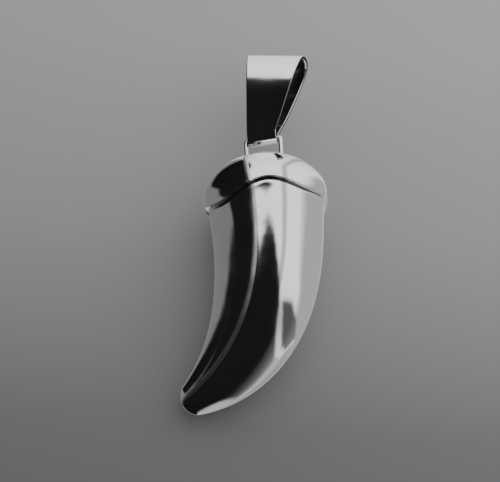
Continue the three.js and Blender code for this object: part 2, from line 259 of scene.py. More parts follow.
class HornForm:
    """The bent, tapered form that the horn's pieces share."""

    def __init__(self, horn, cap):
        self.horn, self.cap = horn, cap
        turn = horn.tip_turn
        pull = Vector((math.sin(turn), 0, -math.cos(turn))) * horn.tip_pull
        tip = Vector((horn.reach, 0, -horn.drop))
        self.middle = Line((0, 0, 0), (0, 0, -horn.rim_pull), tip - pull, tip)
        self.length = self.middle.length
        self.taper = [
            Vector((0, horn.rim_radius)),
            Vector((horn.upper_place, horn.upper_radius)),
            Vector((horn.lower_place, horn.lower_radius)),
            Vector((self.length, horn.tip_radius)),
        ]

    def radius(self, distance):
        """Radius of the horn at a distance from the rim, before its end is rounded."""
        low, high = 0.0, 1.0
        a, b, c, d = self.taper
        for _ in range(TAPER_SEARCH):
            part = (low + high) / 2
            rest = 1 - part
            place = 3 * rest * rest * part * b.x + 3 * rest * part * part * c.x + part**3 * d.x
            if place < distance:
                low = part
            else:
                high = part
        rest = 1 - low
        return (
            rest**3 * a.y
            + 3 * rest * rest * low * b.y
            + 3 * rest * low * low * c.y
            + low**3 * d.y
        )

    def end(self, wall):
        """Where the rounded end starts, and how long it is, a wall inside the surface."""
        rounding = max(self.horn.rounding - wall / 2, self.horn.rounding / 4)
        return self.length - wall - rounding, rounding

    def side(self, wall, top, steps, tip_steps):
        """Radius and distance of points from the tip up to a distance near the rim."""
        start, rounding = self.end(wall)
        points = []
        for i in range(tip_steps):
            turn = math.pi / 2 * (1 - i / tip_steps)
            distance = start + rounding * math.sin(turn)
            reach = (self.radius(distance) - wall) * math.cos(turn)
            points.append((0 if i == 0 else reach, distance))
        for i in range(steps + 1):
            distance = start + (top - start) * i / steps
            points.append((self.radius(distance) - wall, distance))
        return points

    def bend(self, side, front, distance):
        """Takes a point beside the straight middle line to its place on the bent horn."""
        distance -= rim_wave(self.cap, math.atan2(front, side), distance)
        point, direction = self.middle.at(distance)
        return Vector((point.x - direction.z * side, front, point.z + direction.x * side))

    def on_tip(self, wall, side, turn):
        """Front and distance of a point on the rounded end, at a place off the middle."""
        start, rounding = self.end(wall)
        reach = self.radius(start) - wall
        keep = math.sqrt(1 - (side / reach) ** 2)
        distance = start + rounding * keep * math.sin(turn)
        radius = (self.radius(distance) - wall) * math.cos(math.asin(keep * math.sin(turn)))
        front = math.sqrt(max(radius * radius - side * side, 0))
        return math.copysign(front, math.cos(turn)), distance


def lying(place):
    """The turn and move that lay the upright pendant on the table."""
    return (
        Matrix.Translation(place.rim_middle)
        @ Matrix.Rotation(place.turn, 4, "Z")
        @ Matrix.Rotation(place.tip, 4, "X")
        @ Matrix.Rotation(place.roll, 4, "Z")
    )


def turned_profile(points, steps, ring=False):
    """A form spun from a profile of radius and height.

    The profile starts and ends on the axis, or it is joined up to spin a ring.
    """
    bm = bmesh.new()
    line = [bm.verts.new((radius, 0, height)) for radius, height in points]
    edges = [bm.edges.new(pair) for pair in zip(line, line[1:])]
    if ring:
        edges.append(bm.edges.new((line[-1], line[0])))
    bmesh.ops.spin(
        bm,
        geom=line + edges,
        cent=(0, 0, 0),
        axis=(0, 0, 1),
        angle=2 * math.pi,
        steps=steps,
        use_merge=True,
    )
    bmesh.ops.remove_doubles(bm, verts=bm.verts, dist=1e-7)
    bmesh.ops.recalc_face_normals(bm, faces=bm.faces)
    return bm


def keep_side(bm, point, normal):
    """Cuts a closed form with a plane, keeps what the normal points to and closes the cut."""
    bmesh.ops.bisect_plane(
        bm,
        geom=bm.verts[:] + bm.edges[:] + bm.faces[:],
        dist=1e-6,
        plane_co=point,
        plane_no=normal,
        use_snap_center=True,
        clear_inner=True,
    )
    rim = [e for e in bm.edges if len(e.link_faces) == 1]
    closed = bmesh.ops.edgeloop_fill(bm, edges=rim)
    bmesh.ops.triangulate(bm, faces=closed["faces"])


def grid(columns, rows, place):
    """A sheet of columns and rows, each corner moved to where place(column, row) says."""
    bm = bmesh.new()
    bmesh.ops.create_grid(bm, x_segments=columns, y_segments=rows, size=1)
    for vert in bm.verts:
        column = round((vert.co.x + 1) / 2 * columns)
        row = round((vert.co.y + 1) / 2 * rows)
        vert.co = place(column, row)
    bmesh.ops.remove_doubles(bm, verts=bm.verts, dist=1e-8)
    rim = [e for e in bm.edges if len(e.link_faces) == 1]
    if rim:
        bmesh.ops.holes_fill(bm, edges=rim)
    bmesh.ops.recalc_face_normals(bm, faces=bm.faces)
    return bm


def finish_piece(bm, name, node, slot, body, sharp=30):
    """Makes the piece of a finished form, in place of its plain solid.

    Edges that turn more than sharp, in degrees, stay crisp.
    """
    scene = bpy.context.scene
    bmesh.ops.recalc_face_normals(bm, faces=bm.faces)
    for face in bm.faces:
        face.smooth = True
    for edge in bm.edges:
        edge.smooth = edge.calc_face_angle(math.pi) < math.radians(sharp)
    bmesh.ops.transform(bm, matrix=lying(scene.lying_place), verts=bm.verts)
    mesh = bpy.data.meshes.new(name)
    bm.to_mesh(mesh)
    bm.free()
    piece = bpy.data.objects.new(name, mesh)
    scene.collection.objects.link(piece)
    mesh.materials.append(solder() if slot == "solder" else silver())
    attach(piece, body)
    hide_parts(node)
    return piece


def silver():
    finish = bpy.context.scene.finishes
    marks = (finish.silver_haze, finish.silver_scratches, finish.silver_unevenness)
    return metal("Polished silver", finish.silver, finish.silver_gloss, *marks)


def solder():
    finish = bpy.context.scene.finishes
    marks = (finish.solder_haze, finish.solder_scratches, finish.solder_unevenness)
    return metal("Silver solder", finish.solder, finish.solder_gloss, *marks)


def handling():
    """The marks that polishing and wear leave: a soft unevenness, fine scratches and a haze."""
    found = bpy.data.node_groups.get("Handling")
    if found:
        return found
    group = bpy.data.node_groups.new("Handling", "ShaderNodeTree")
    for name, kind in (
        ("Coordinates", "NodeSocketVector"),
        ("Colour", "NodeSocketColor"),
        ("Haze", "NodeSocketFloat"),
        ("Gloss", "NodeSocketFloat"),
        ("Scratches", "NodeSocketFloat"),
        ("Unevenness", "NodeSocketFloat"),
    ):
        group.interface.new_socket(name=name, in_out="INPUT", socket_type=kind)
    for name, kind in (
        ("Colour", "NodeSocketColor"),
        ("Roughness", "NodeSocketFloat"),
        ("Normal", "NodeSocketVector"),
    ):
        group.interface.new_socket(name=name, in_out="OUTPUT", socket_type=kind)
    sums = Sums(group)
    given = sums.node("NodeGroupInput").outputs
    result = sums.node("NodeGroupOutput").inputs

    haze = sums.noise(given["Coordinates"], HAZE_SCALE, 4)
    haze = sums.of("MULTIPLY", sums.step(haze, 0.4, 0.75), given["Haze"])
    dulled = sums.node("ShaderNodeMix")
    dulled.data_type = "RGBA"
    dulled.blend_type = "MULTIPLY"
    dulled.inputs[7].default_value = (0.55, 0.54, 0.52, 1)
    group.links.new(haze, dulled.inputs["Factor"])
    group.links.new(given["Colour"], dulled.inputs[6])
    group.links.new(dulled.outputs[2], result["Colour"])

    stretched = sums.node("ShaderNodeMapping")
    stretched.inputs["Rotation"].default_value = (0.4, 0.3, 0.9)
    stretched.inputs["Scale"].default_value = (1, 9, 9)
    group.links.new(given["Coordinates"], stretched.inputs["Vector"])
    lines = sums.noise(stretched.outputs["Vector"], SCRATCH_SCALE, 3)
    lines = sums.step(lines, 0.5, 0.72)
    rubbed = sums.of("ADD", sums.of("MULTIPLY", lines, given["Scratches"]), given["Gloss"])
    group.links.new(sums.of("ADD", rubbed, sums.of("MULTIPLY", haze, 0.3)), result["Roughness"])

    bump = sums.node("ShaderNodeBump")
    group.links.new(given["Unevenness"], bump.inputs["Distance"])
    group.links.new(sums.noise(given["Coordinates"], UNEVENNESS_SCALE, 1), bump.inputs["Height"])
    group.links.new(bump.outputs["Normal"], result["Normal"])
    return group


def metal(name, tint, gloss, haze, scratches, unevenness):
    """A metal with its marks of polishing and wear."""
    found = bpy.data.materials.get(name)
    if found:
        return found
    made = bpy.data.materials.new(name)
    made.use_nodes = True
    tree = made.node_tree
    shader = tree.nodes["Principled BSDF"]
    shader.inputs["Metallic"].default_value = 1
    marks = tree.nodes.new("ShaderNodeGroup")
    marks.node_tree = handling()
    marks.inputs["Colour"].default_value = (*tint, 1)
    marks.inputs["Gloss"].default_value = gloss
    marks.inputs["Haze"].default_value = haze
    marks.inputs["Scratches"].default_value = scratches
    marks.inputs["Unevenness"].default_value = unevenness
    coordinates = tree.nodes.new("ShaderNodeTexCoord")
    tree.links.new(coordinates.outputs["Object"], marks.inputs["Coordinates"])
    tree.links.new(marks.outputs["Colour"], shader.inputs["Base Color"])
    tree.links.new(marks.outputs["Roughness"], shader.inputs["Roughness"])
    tree.links.new(marks.outputs["Normal"], shader.inputs["Normal"])
    return made


class PENDANT_OT_horn(bpy.types.Operator):
    """Forms the two halves of the horn and the solder line between them"""

    bl_idname = "pendant.horn"
    bl_label = "Horn"

    def execute(self, context):
        scene = context.scene
        horn, seam = scene.horn_sizes, scene.seam_sizes
        form = HornForm(horn, scene.cap_sizes)
        outside, inside = self.profiles(form)
        for side, name in ((1, "inner"), (-1, "outer")):
            bm = turned_profile([(r, -d) for r, d in outside + inside[::-1]], ROUND_STEPS)
            keep_side(bm, (side * seam.width / 2, 0, 0), (side, 0, 0))
            for vert in bm.verts:
                vert.co = form.bend(vert.co.x, vert.co.y, -vert.co.z)
            node = f"horn_{name}_half"
            finish_piece(bm, f"polished_{node}", node, "polished_silver", "horn")
        self.seam(form, outside, seam)
        return {"FINISHED"}

    def profiles(self, form):
        """The horn's outside and inside, each from the tip up to the end of the neck."""
        horn = form.horn
        top = horn.groove + horn.shoulder
        outside = form.side(0, top, HORN_STEPS, HORN_TIP_STEPS)
        drop = form.radius(0) - horn.neck_radius
        for i in range(1, SHOULDER_STEPS + 1):
            turn = math.pi / 2 * (1 - i / SHOULDER_STEPS)
            distance = horn.groove + horn.shoulder * (1 - math.cos(turn))
            outside.append((form.radius(distance) - drop * (1 - math.sin(turn)), distance))
        outside += [(horn.neck_radius * wide, -horn.neck * down) for wide, down in NECK_SHAPE]
        inside = form.side(horn.wall, top + horn.wall, BORE_STEPS, BORE_TIP_STEPS)
        bore = horn.neck_radius - horn.wall
        inside.append((bore, horn.groove + horn.shoulder / 2))
        inside.append((bore, -horn.neck))
        return outside, inside

    def seam(self, form, outside, seam):
        """Lays the solder bead down the front, round the tip and up the back.

        Its cross-section has a crowned outer face, and a flat inner face with no crown value.
        """
        horn = form.horn
        half = seam.bead / 2
        body = [p for p in outside[::-1] if p[1] <= form.end(0)[0]]
        core = form.end(horn.wall)[0]
        count = len(body)
        rows = 2 * count + SEAM_TIP_STEPS - 1
        across = [half * (2 * i / CROWN_STEPS - 1) for i in range(CROWN_STEPS + 1)]
        loop = [(s, seam.crown * (1 - (s / half) ** 2)) for s in across]
        loop += [(half, None), (-half, None)]
        loop.append(loop[0])

        def place(column, row):
            side, crown = loop[column]
            back = row > count + SEAM_TIP_STEPS - 1
            along = rows - row if back else row
            if along < count:
                radius, distance = body[along]
                if crown is None:
                    part = max(distance, 0) / body[-1][1]
                    distance = distance if distance < 0 else part * core
                    radius = min(form.radius(max(distance, 0)), horn.neck_radius) - horn.wall
                    radius = min(radius, form.radius(distance) - horn.wall) if part else radius
                else:
                    radius += crown
                front = math.sqrt(radius * radius - side * side)
                front = -front if back else front
            else:
                turn = math.pi * (row - count + 1) / (SEAM_TIP_STEPS + 1)
                front, distance = form.on_tip(horn.wall if crown is None else -crown, side, turn)
            return form.bend(side, front, distance)

        bm = grid(len(loop) - 1, rows, place)
        node = "horn_seam_solder"
        finish_piece(bm, "drawn_horn_seam", node, "solder", "horn", sharp=50)


class PENDANT_OT_cap(bpy.types.Operator):
    """Forms the two halves of the domed cap and the solder line between them"""

    bl_idname = "pendant.cap"
    bl_label = "Cap"

    def execute(self, context):
        scene = context.scene
        cap, seam = scene.cap_sizes, scene.seam_sizes
        across = Vector((math.cos(cap.lean), 0, -math.sin(cap.lean)))
        for side, name in ((1, "inner"), (-1, "outer")):
            bm = turned_profile(self.profile(cap), ROUND_STEPS)
            for vert in bm.verts:
                turn = math.atan2(vert.co.y, vert.co.x)
                vert.co.z += rim_wave(cap, turn, max(vert.co.z, 0))
            normal = across * side
            keep_side(bm, normal * (seam.width / 2), normal)
            node = f"cap_{name}_half"
            finish_piece(bm, f"polished_{node}", node, "polished_silver", "horn")
        self.seam(cap, seam, across)
        return {"FINISHED"}

    def profile(self, cap):
        """The dome's outer face, its rounded rim and its inner face."""
        bulge = 2 / cap.fullness
        points = []
        for i in range(DOME_STEPS):
            turn = math.pi / 2 * (1 - i / DOME_STEPS)
            rise = (cap.height - cap.skirt) * math.sin(turn) ** bulge
            out = cap.radius * math.cos(turn) ** bulge
            points.append((out if i else 0, cap.skirt + rise))
        points.append((cap.radius, cap.skirt))
        points.append((cap.radius, (cap.skirt + cap.rim_rounding) / 2))
        for i in range(RIM_STEPS + 1):
            turn = math.pi / 2 * i / RIM_STEPS
            out = cap.radius - cap.rim_rounding * (1 - math.cos(turn))
            points.append((out, cap.rim_rounding * (1 - math.sin(turn))))
        inner = cap.radius - cap.wall
        points.append((inner, 0))
        for i in range(INNER_DOME_STEPS + 1):
            turn = math.pi / 2 * i / INNER_DOME_STEPS
            rise = (cap.height - cap.wall - cap.skirt) * math.sin(turn) ** bulge
            out = inner * math.cos(turn) ** bulge if i < INNER_DOME_STEPS else 0
            points.append((out, cap.skirt + rise))
        return points

    def seam(self, cap, seam, across):
        """Lays the solder bead over the dome, from rim to rim."""
        half = seam.bead / 2
        up = Vector((math.sin(cap.lean), 0, math.cos(cap.lean)))
        front = Vector((0, 1, 0))
        loop = []
        for i in range(CROWN_STEPS + 1):
            part = 2 * i / CROWN_STEPS - 1
            loop.append((half * part, -seam.crown * (1 - part * part)))
        loop += [(half, cap.wall), (-half, cap.wall)]
        loop.append(loop[0])
        rim = rim_wave(cap, math.pi / 2, 0)
        first = math.atan2(rim, cap.radius)

        def within(point, wall):
            """Whether a point is inside the dome, a wall below its outer face."""
            turn = math.atan2(point.y, point.x)
            level = point.z
            for _ in range(WAVE_SEARCH):
                level = point.z - rim_wave(cap, turn, max(level, 0))
            wide = math.hypot(point.x, point.y) / (cap.radius - wall)
            high = max(level - cap.skirt, 0) / (cap.height - cap.skirt - wall)
            return wide**cap.fullness + high**cap.fullness < 1

        def place(column, row):
            side, wall = loop[column]
            turn = first + (math.pi - 2 * first) * row / CAP_SEAM_STEPS
            way = front * math.cos(turn) + up * math.sin(turn)
            low, high = 0.0, cap.radius * 1.5
            for _ in range(DOME_SEARCH):
                reach = (low + high) / 2
                if within(across * side + way * reach, wall):
                    low = reach
                else:
                    high = reach
            return across * side + way * low

        bm = grid(len(loop) - 1, CAP_SEAM_STEPS, place)
        finish_piece(bm, "drawn_cap_seam", "cap_seam_solder", "solder", "horn", sharp=50)


class PENDANT_OT_loop(bpy.types.Operator):
    """Bends the wire loop and flows a solder fillet round each of its feet"""

    bl_idname = "pendant.loop"
    bl_label = "Hanging loop"

    def execute(self, context):
        scene = context.scene
        cap, loop = scene.cap_sizes, scene.loop_sizes
        self.wire(cap, loop)
        for side, name in ((1, "left"), (-1, "right")):
            self.fillet(cap, loop, loop.shift + side * loop.span / 2, name)
        return {"FINISHED"}

    def dome(self, cap, distance, wall=0):
        """Height of the dome's face at a distance from its middle."""
        part = (1 - (distance / (cap.radius - wall)) ** cap.fullness) ** (1 / cap.fullness)
        return cap.skirt + (cap.height - wall - cap.skirt) * part

    def wire(self, cap, loop):
        """Draws the wire up one leg, across and down the other."""
        half = loop.span / 2
        foot = self.dome(cap, half, cap.wall) - loop.tail
        top = cap.height + loop.rise
        bm = bmesh.new()
        bmesh.ops.create_circle(bm, segments=WIRE_SIDES, radius=loop.wire / 2)
        bmesh.ops.translate(bm, verts=bm.verts, vec=(loop.shift + half, 0, foot))
        ends = bm.edges[:]

        def run(edges, vector, steps):
            for _ in range(steps):
                grown = bmesh.ops.extrude_edge_only(bm, edges=edges)["geom"]
                edges = [g for g in grown if isinstance(g, bmesh.types.BMEdge) and g.is_boundary]
                verts = [g for g in grown if isinstance(g, bmesh.types.BMVert)]
                bmesh.ops.translate(bm, verts=verts, vec=Vector(vector) / steps)
            return edges

        def corner(edges, middle):
            verts = list({v for e in edges for v in e.verts})
            grown = bmesh.ops.spin(
                bm,
                geom=verts + edges,
                cent=middle,
                axis=(0, 1, 0),
                angle=-math.pi / 2,
                steps=CORNER_STEPS,
            )["geom_last"]
            return [g for g in grown if isinstance(g, bmesh.types.BMEdge)]

        ends = run(ends, (0, 0, top - loop.corner - foot), LEG_STEPS)
        ends = corner(ends, (loop.shift + half - loop.corner, 0, top - loop.corner))
        ends = run(ends, (2 * loop.corner - loop.span, 0, 0), TOP_STEPS)
        ends = corner(ends, (loop.shift - half + loop.corner, 0, top - loop.corner))
        run(ends, (0, 0, foot - top + loop.corner), LEG_STEPS)
        bmesh.ops.holes_fill(bm, edges=[e for e in bm.edges if e.is_boundary])
        finish_piece(bm, "drawn_wire_loop", "hanging_loop", "polished_silver", "horn", sharp=50)

    def fillet(self, cap, loop, x, name):
        """Flows the solder from the dome up the wire's leg, hollow as a fillet is."""
        face = self.dome(cap, abs(x))
        wire = loop.wire / 2
        points = [(wire * FILLET_CORE, -FILLET_DEPTH), (wire * FILLET_CORE, loop.fillet_height)]
        for i in range(FILLET_STEPS + 1):
            turn = math.pi / 2 * (1 - i / FILLET_STEPS)
            out = wire + loop.fillet_reach * (1 - math.sin(turn))
            points.append((out, loop.fillet_height * (1 - math.cos(turn))))
        bm = turned_profile(points, FILLET_SIDES, ring=True)
        for vert in bm.verts:
            vert.co.x += x
            lift = self.dome(cap, math.hypot(vert.co.x, vert.co.y)) - face
            vert.co.z += face + lift
        node = f"loop_solder_{name}"
        finish_piece(bm, f"flowed_{node}", node, "solder", "horn", sharp=60)


class PENDANT_OT_bail(bpy.types.Operator):
    """Folds the tapered strip of the bail round the wire and closes its joint"""

    bl_idname = "pendant.bail"
    bl_label = "Bail"

    def execute(self, context):
        scene = context.scene
        bail, loop, seam = scene.bail_sizes, scene.loop_sizes, scene.seam_sizes
        self.outer = loop.wire / 2 + bail.wire_play + bail.thickness
        foot = Vector((math.cos(bail.slope), -math.sin(bail.slope), 0)) * self.outer
        up = Vector((math.sin(bail.slope), math.cos(bail.slope), 0))
        self.leg = Line(
            foot,
            foot + up * bail.leg_pull,
            (bail.top_pull, bail.length, 0),
            (0, bail.length, 0),
        )
        self.around = 2 * self.leg.length + self.outer * (math.pi - 2 * bail.slope)
        joint = 2 * self.leg.length - bail.joint_height
        start = joint + bail.joint_width / 2
        length = self.around - bail.joint_width
        strip = self.strip(scene, start, length, STRIP_STEPS, bail.edge)
        finish_piece(strip, "folded_bail", "bail", "polished_silver", "bail", sharp=50)
        fill = bail.joint_width - 2 * seam.gap
        filled = self.strip(scene, joint - fill / 2, fill, JOINT_STEPS, seam.gap)
        finish_piece(filled, "flowed_bail_joint", "bail_solder", "solder", "bail", sharp=50)
        return {"FINISHED"}

    def station(self, bail, distance):
        """A point of the strip's outer face and the way into the strip, seen from the side."""
        along = distance % self.around
        whole = 2 * self.leg.length
        if along > whole:
            turn = math.pi + bail.slope + (along - whole) / self.outer
            outward = Vector((math.cos(turn), math.sin(turn)))
            return outward * self.outer, -outward
        half = whole / 2
        back = -1 if along > half else 1
        point, way = self.leg.at(half - abs(along - half))
        return Vector((back * point.x, point.y)), Vector((-back * way.y, way.x))

    def section(self, bail, edge):
        """The strip's cross-section: side, inset from that side, and depth, once round."""
        loop = []
        for side, deep in ((-1, 0), (1, 0), (1, 1), (-1, 1)):
            for i in range(EDGE_STEPS + 1):
                turn = math.pi / 2 * i / EDGE_STEPS
                if (side > 0) == (deep > 0):
                    turn = math.pi / 2 - turn
                depth = edge * (1 - math.sin(turn))
                inset = edge * (1 - math.cos(turn))
                loop.append((side, inset, bail.thickness - depth if deep else depth))
            if (side > 0) != (deep > 0):
                depth = bail.thickness if deep else 0
                for part in STRIP_LINES:
                    loop.append((side * (1 - 2 * part), 0, depth))
        loop.append(loop[0])
        return loop

    def strip(self, scene, start, length, steps, edge):
        """A stretch of the folded strip, from a distance along it, tapered and leant."""
        bail, loop, cap = scene.bail_sizes, scene.loop_sizes, scene.cap_sizes
        wire_height = cap.height + loop.rise
        section = self.section(bail, edge)

        def place(column, row):
            side, inset, depth = section[column]
            point, inward = self.station(bail, start + length * row / steps)
            point = point + inward * depth
            above = max(point.y - bail.straight, 0)
            part = above / (bail.length - bail.straight)
            width = bail.foot_width + (bail.top_width - bail.foot_width) * part
            turn = bail.cross * smooth_step(point.y, bail.straight, bail.lean_end)
            across = side * width / 2 - math.copysign(inset, side)
            x = across * math.cos(turn) - above * math.sin(bail.lean)
            z = point.y - above * (1 - math.cos(bail.lean)) + across * math.sin(turn)
            return Vector((x + loop.shift, point.x, z + wire_height))

        return grid(len(section) - 1, steps, place)


# The table and the light
TABLE_HALF = 0.6
TABLE_ROUGHNESS, TABLE_SHINE = 0.9, 0.05
LIGHT_PLACE, LIGHT_SIZE, LIGHT_POWER = (0.11, 0.05, 0.2), 0.4, 0.38
SOFT_LIGHT = 0.6

# The camera: its lens in pixels of a 500 pixel wide picture, and its place from the rim
PICTURE_WIDTH, LENS, SENSOR = 500, 2391, 36
CAMERA_RIGHT, CAMERA_UP = (0.9979, 0.0572, 0.0299), (-0.0645, 0.8850, 0.4610)
CAMERA_DISTANCE, AIM_ASIDE, AIM_UP = 0.19925, -0.006807, -0.014096

# Painted shade on the table: its tone along its length and across it, set to follow the
# photograph's background
PAINTED_SHADE_ALONG = (
    (-0.03, 0.32), (-0.021, 0.365), (-0.016, 0.4), (-0.0065, 0.575), (0.003, 0.735),
    (0.0125, 0.83), (0.021, 0.93), (0.03, 0.97),
)
PAINTED_SHADE_ACROSS = ((-0.03, 0.82), (0.0, 0.905), (0.03, 1.0))

# The mirrored room, on a round map of the ways that a ray can go: 0 is straight up, 1 is level
# and 2 is straight down. These are lines on it, north from east or east from north. They and
# the tones below were drawn after the photograph's reflections.
SILL = (
    (-0.4, 0.1), (-0.3, 0.09), (-0.26, 0.07), (-0.22, 0.045), (-0.15, 0.062), (-0.06, 0.086),
    (0.0, 0.096), (0.08, 0.09), (0.16, 0.072), (0.2, 0.05),
)
SHADE_EDGE = (
    (-1.3, 0.2), (-1.1, 0.36), (-0.9, 0.46), (-0.62, 0.58), (-0.44, 0.6), (-0.28, 0.52),
    (-0.16, 0.44), (-0.06, 0.33), (0.02, 0.21), (0.07, 0.12),
)
WINDOW_SIDE = (
    (-0.1, 0.9), (0.0, 0.8), (0.06, 0.7), (0.18, 0.62), (0.3, 0.62), (0.5, 0.74), (1.0, 0.78),
)
WINDOW_FOOT = (
    (0.45, -0.17), (0.6, -0.14), (0.8, -0.12), (1.0, -0.15), (1.3, -0.14), (1.5, -0.05),
    (1.65, 0.05),
)
STREAK = (
    (0.4, -0.13), (0.5, -0.2), (0.6, -0.27), (0.7, -0.35), (0.85, -0.43), (1.05, -0.5),
    (1.3, -0.42), (1.5, -0.25), (1.65, -0.05),
)
WALL_EDGE = (
    (-0.1, -1.0), (0.0, -0.8), (0.045, -0.8), (0.07, -0.82), (0.12, -0.825), (0.14, -0.87),
    (0.18, -0.93), (0.24, -0.98), (0.35, -1.05), (0.45, -1.08), (0.55, -1.1), (0.7, -1.11),
    (0.9, -1.06), (1.1, -0.85), (1.3, -0.4), (1.5, 0.0),
)
BAR_PLACE = 0.335

# How soft the shade's edge is, and how bright the parts of the room are, along the same map
SHADE_SOFTNESS = ((-1.3, 3.6), (-0.9, 3.0), (-0.65, 1.9), (-0.4, 1.0), (0.07, 1.0))
WINDOW_TONE = (
    (-0.3, 0.62), (-0.1, 0.86), (0.0, 0.95), (0.1, 1.0), (0.3, 0.98), (1.0, 0.86), (1.3, 0.7),
    (1.6, 0.5),
)
STREAK_TONE = (
    (0.4, 0.8), (0.6, 0.6), (0.8, 0.8), (1.05, 1.0), (1.3, 1.0), (1.5, 0.75), (1.65, 0.36),
)
FAR_FLOOR_TONE = ((0.6, 0.08), (1.0, 0.1), (1.3, 0.2), (1.6, 0.33))
NEAR_FLOOR_TONE = (
    (0.5, 0.02), (0.7, 0.06), (0.85, 0.12), (1.0, 0.2), (1.12, 0.44), (1.25, 0.6), (1.4, 0.5),
    (1.6, 0.36),
)
WALL_TONE = ((0.0, 0.2), (0.8, 0.2), (1.2, 0.21), (1.6, 0.24))
BAR_TONE, SIDE_TONE, PATCH_TONE, SHADE_TONE = 0.65, 0.46, 0.55, 0.008


class PENDANT_OT_stage(bpy.types.Operator):
    """Sets the table, the camera, the light and the room that the silver mirrors"""

    bl_idname = "pendant.stage"
    bl_label = "Stage"

    def execute(self, context):
        scene = context.scene
        self.table(scene)
        self.camera(scene)
        self.light(scene)
        self.room(scene)
        return {"FINISHED"}

    def table(self, scene):
        """The table, which the silver doesn't mirror."""
        bm = bmesh.new()
        bmesh.ops.create_grid(bm, x_segments=1, y_segments=1, size=TABLE_HALF)
        mesh = bpy.data.meshes.new("table")
        bm.to_mesh(mesh)
        bm.free()
        table = bpy.data.objects.new("table", mesh)
        scene.collection.objects.link(table)
        mesh.materials.append(self.matte(scene.finishes.table))
        table.visible_glossy = False

    def matte(self, tint):
        """The table's matte grey, with painted shade that makes it darker towards the front and the
        left.
        """
        made = bpy.data.materials.new("Matte table with painted shade")
        made.use_nodes = True
        shader = made.node_tree.nodes["Principled BSDF"]
        shader.inputs["Roughness"].default_value = TABLE_ROUGHNESS
        shader.inputs["Specular IOR Level"].default_value = TABLE_SHINE
        sums = Sums(made.node_tree)
        place = sums.node("ShaderNodeSeparateXYZ")
        sums.feed(place.inputs[0], sums.node("ShaderNodeTexCoord").outputs["Object"])
        # Painted shade: the grey is multiplied darker towards the front and the left, where the
        # light falls off
        along = sums.curve(place.outputs["Y"], PAINTED_SHADE_ALONG)
        across = sums.curve(place.outputs["X"], PAINTED_SHADE_ACROSS)
        shade = sums.node("ShaderNodeMix")
        shade.data_type = "RGBA"
        shade.blend_type = "MULTIPLY"
        shade.inputs["Factor"].default_value = 1
        shade.inputs[6].default_value = (*tint, 1)
        sums.feed(shade.inputs[7], sums.of("MULTIPLY", along, across))
        sums.feed(shader.inputs["Base Color"], shade.outputs[2])
        return made

    def camera(self, scene):
        data = bpy.data.cameras.new("camera")
        data.sensor_width = SENSOR
        data.lens = LENS * SENSOR / PICTURE_WIDTH
        data.clip_start, data.clip_end = 0.01, 10
        camera = bpy.data.objects.new("camera", data)
        scene.collection.objects.link(camera)
        up = Vector(CAMERA_UP)
        back = Vector(CAMERA_RIGHT).cross(up).normalized()
        right = up.cross(back).normalized()
        place = Vector(scene.lying_place.rim_middle) + back * CAMERA_DISTANCE
        out = (back - AIM_ASIDE * right - AIM_UP * up).normalized()
        across = up.cross(out).normalized()
        turn = Matrix((across, out.cross(across), out)).transposed().to_4x4()
        camera.matrix_world = Matrix.Translation(place) @ turn
        scene.camera = camera

    def light(self, scene):
        """A soft light at the window, which shades the table and isn't mirrored itself."""
        data = bpy.data.lights.new("window_light", "AREA")
        data.shape = "SQUARE"
        data.size = LIGHT_SIZE
        data.energy = LIGHT_POWER
        lamp = bpy.data.objects.new("window_light", data)
        lamp.location = LIGHT_PLACE
        lamp.rotation_mode = "QUATERNION"
        lamp.rotation_quaternion = (-Vector(LIGHT_PLACE)).to_track_quat("-Z", "Y")
        lamp.visible_camera = False
        lamp.visible_glossy = False
        scene.collection.objects.link(lamp)

    def room(self, scene):
        """The room, which only mirror rays see: windows to the back and right, dark elsewhere."""
        world = bpy.data.worlds.new("Room")
        world.use_nodes = True
        scene.world = world
        sums = Sums(world.node_tree)
        east, north = self.way(sums)
        lit = sums.step(sums.of("SUBTRACT", north, sums.curve(east, WINDOW_FOOT)), -0.02, 0.04)
        lit = sums.mix(lit, self.floor(sums, east, north), self.window(sums, east, north))
        seen = sums.mix(self.opening(sums, east, north), self.shade(sums, east, north), lit)
        rays = sums.node("ShaderNodeLightPath")
        shown = sums.mix(rays.outputs["Is Glossy Ray"], SOFT_LIGHT, seen)
        sums.feed(world.node_tree.nodes["Background"].inputs["Color"], shown)

    def way(self, sums):
        """Where a ray goes on the round map, as east and north."""
        split = sums.node("ShaderNodeSeparateXYZ")
        sums.feed(split.inputs[0], sums.node("ShaderNodeTexCoord").outputs["Generated"])
        x, y, z = split.outputs
        flat = sums.of("ADD", sums.of("MULTIPLY", x, x), sums.of("MULTIPLY", y, y))
        from_top = sums.of("MULTIPLY", sums.of("ARCCOSINE", z), 2 / math.pi)
        part = sums.of("DIVIDE", from_top, sums.of("SQRT", flat))
        return sums.of("MULTIPLY", x, part), sums.of("MULTIPLY", y, part)

    def opening(self, sums, east, north):
        """The lit part of the room: above the sill at the back, and beyond the shade's edge."""
        back = sums.step(sums.of("SUBTRACT", north, sums.curve(east, SILL)), -0.012, 0.012)
        back = sums.of("MULTIPLY", back, sums.step(east, -0.4, -0.34))
        beyond = sums.of("SUBTRACT", east, sums.curve(north, SHADE_EDGE))
        beyond = sums.of("SUBTRACT", beyond, 0.02)
        soft = sums.of("DIVIDE", beyond, sums.curve(north, SHADE_SOFTNESS))
        return sums.of("MAXIMUM", back, sums.step(soft, -0.05, 0.05))

    def window(self, sums, east, north):
        """The window, with a greyer bar down it and a greyer side."""
        bar = sums.step(sums.of("ABSOLUTE", sums.of("SUBTRACT", east, BAR_PLACE)), 0.03, 0.075)
        bar = sums.of("ADD", sums.of("MULTIPLY", bar, 0.7), BAR_TONE)
        glass = sums.of("MULTIPLY", sums.curve(north, WINDOW_TONE), bar)
        beside = sums.of("SUBTRACT", east, sums.curve(north, WINDOW_SIDE))
        return sums.mix(sums.step(beside, 0.0, 0.26), glass, SIDE_TONE)

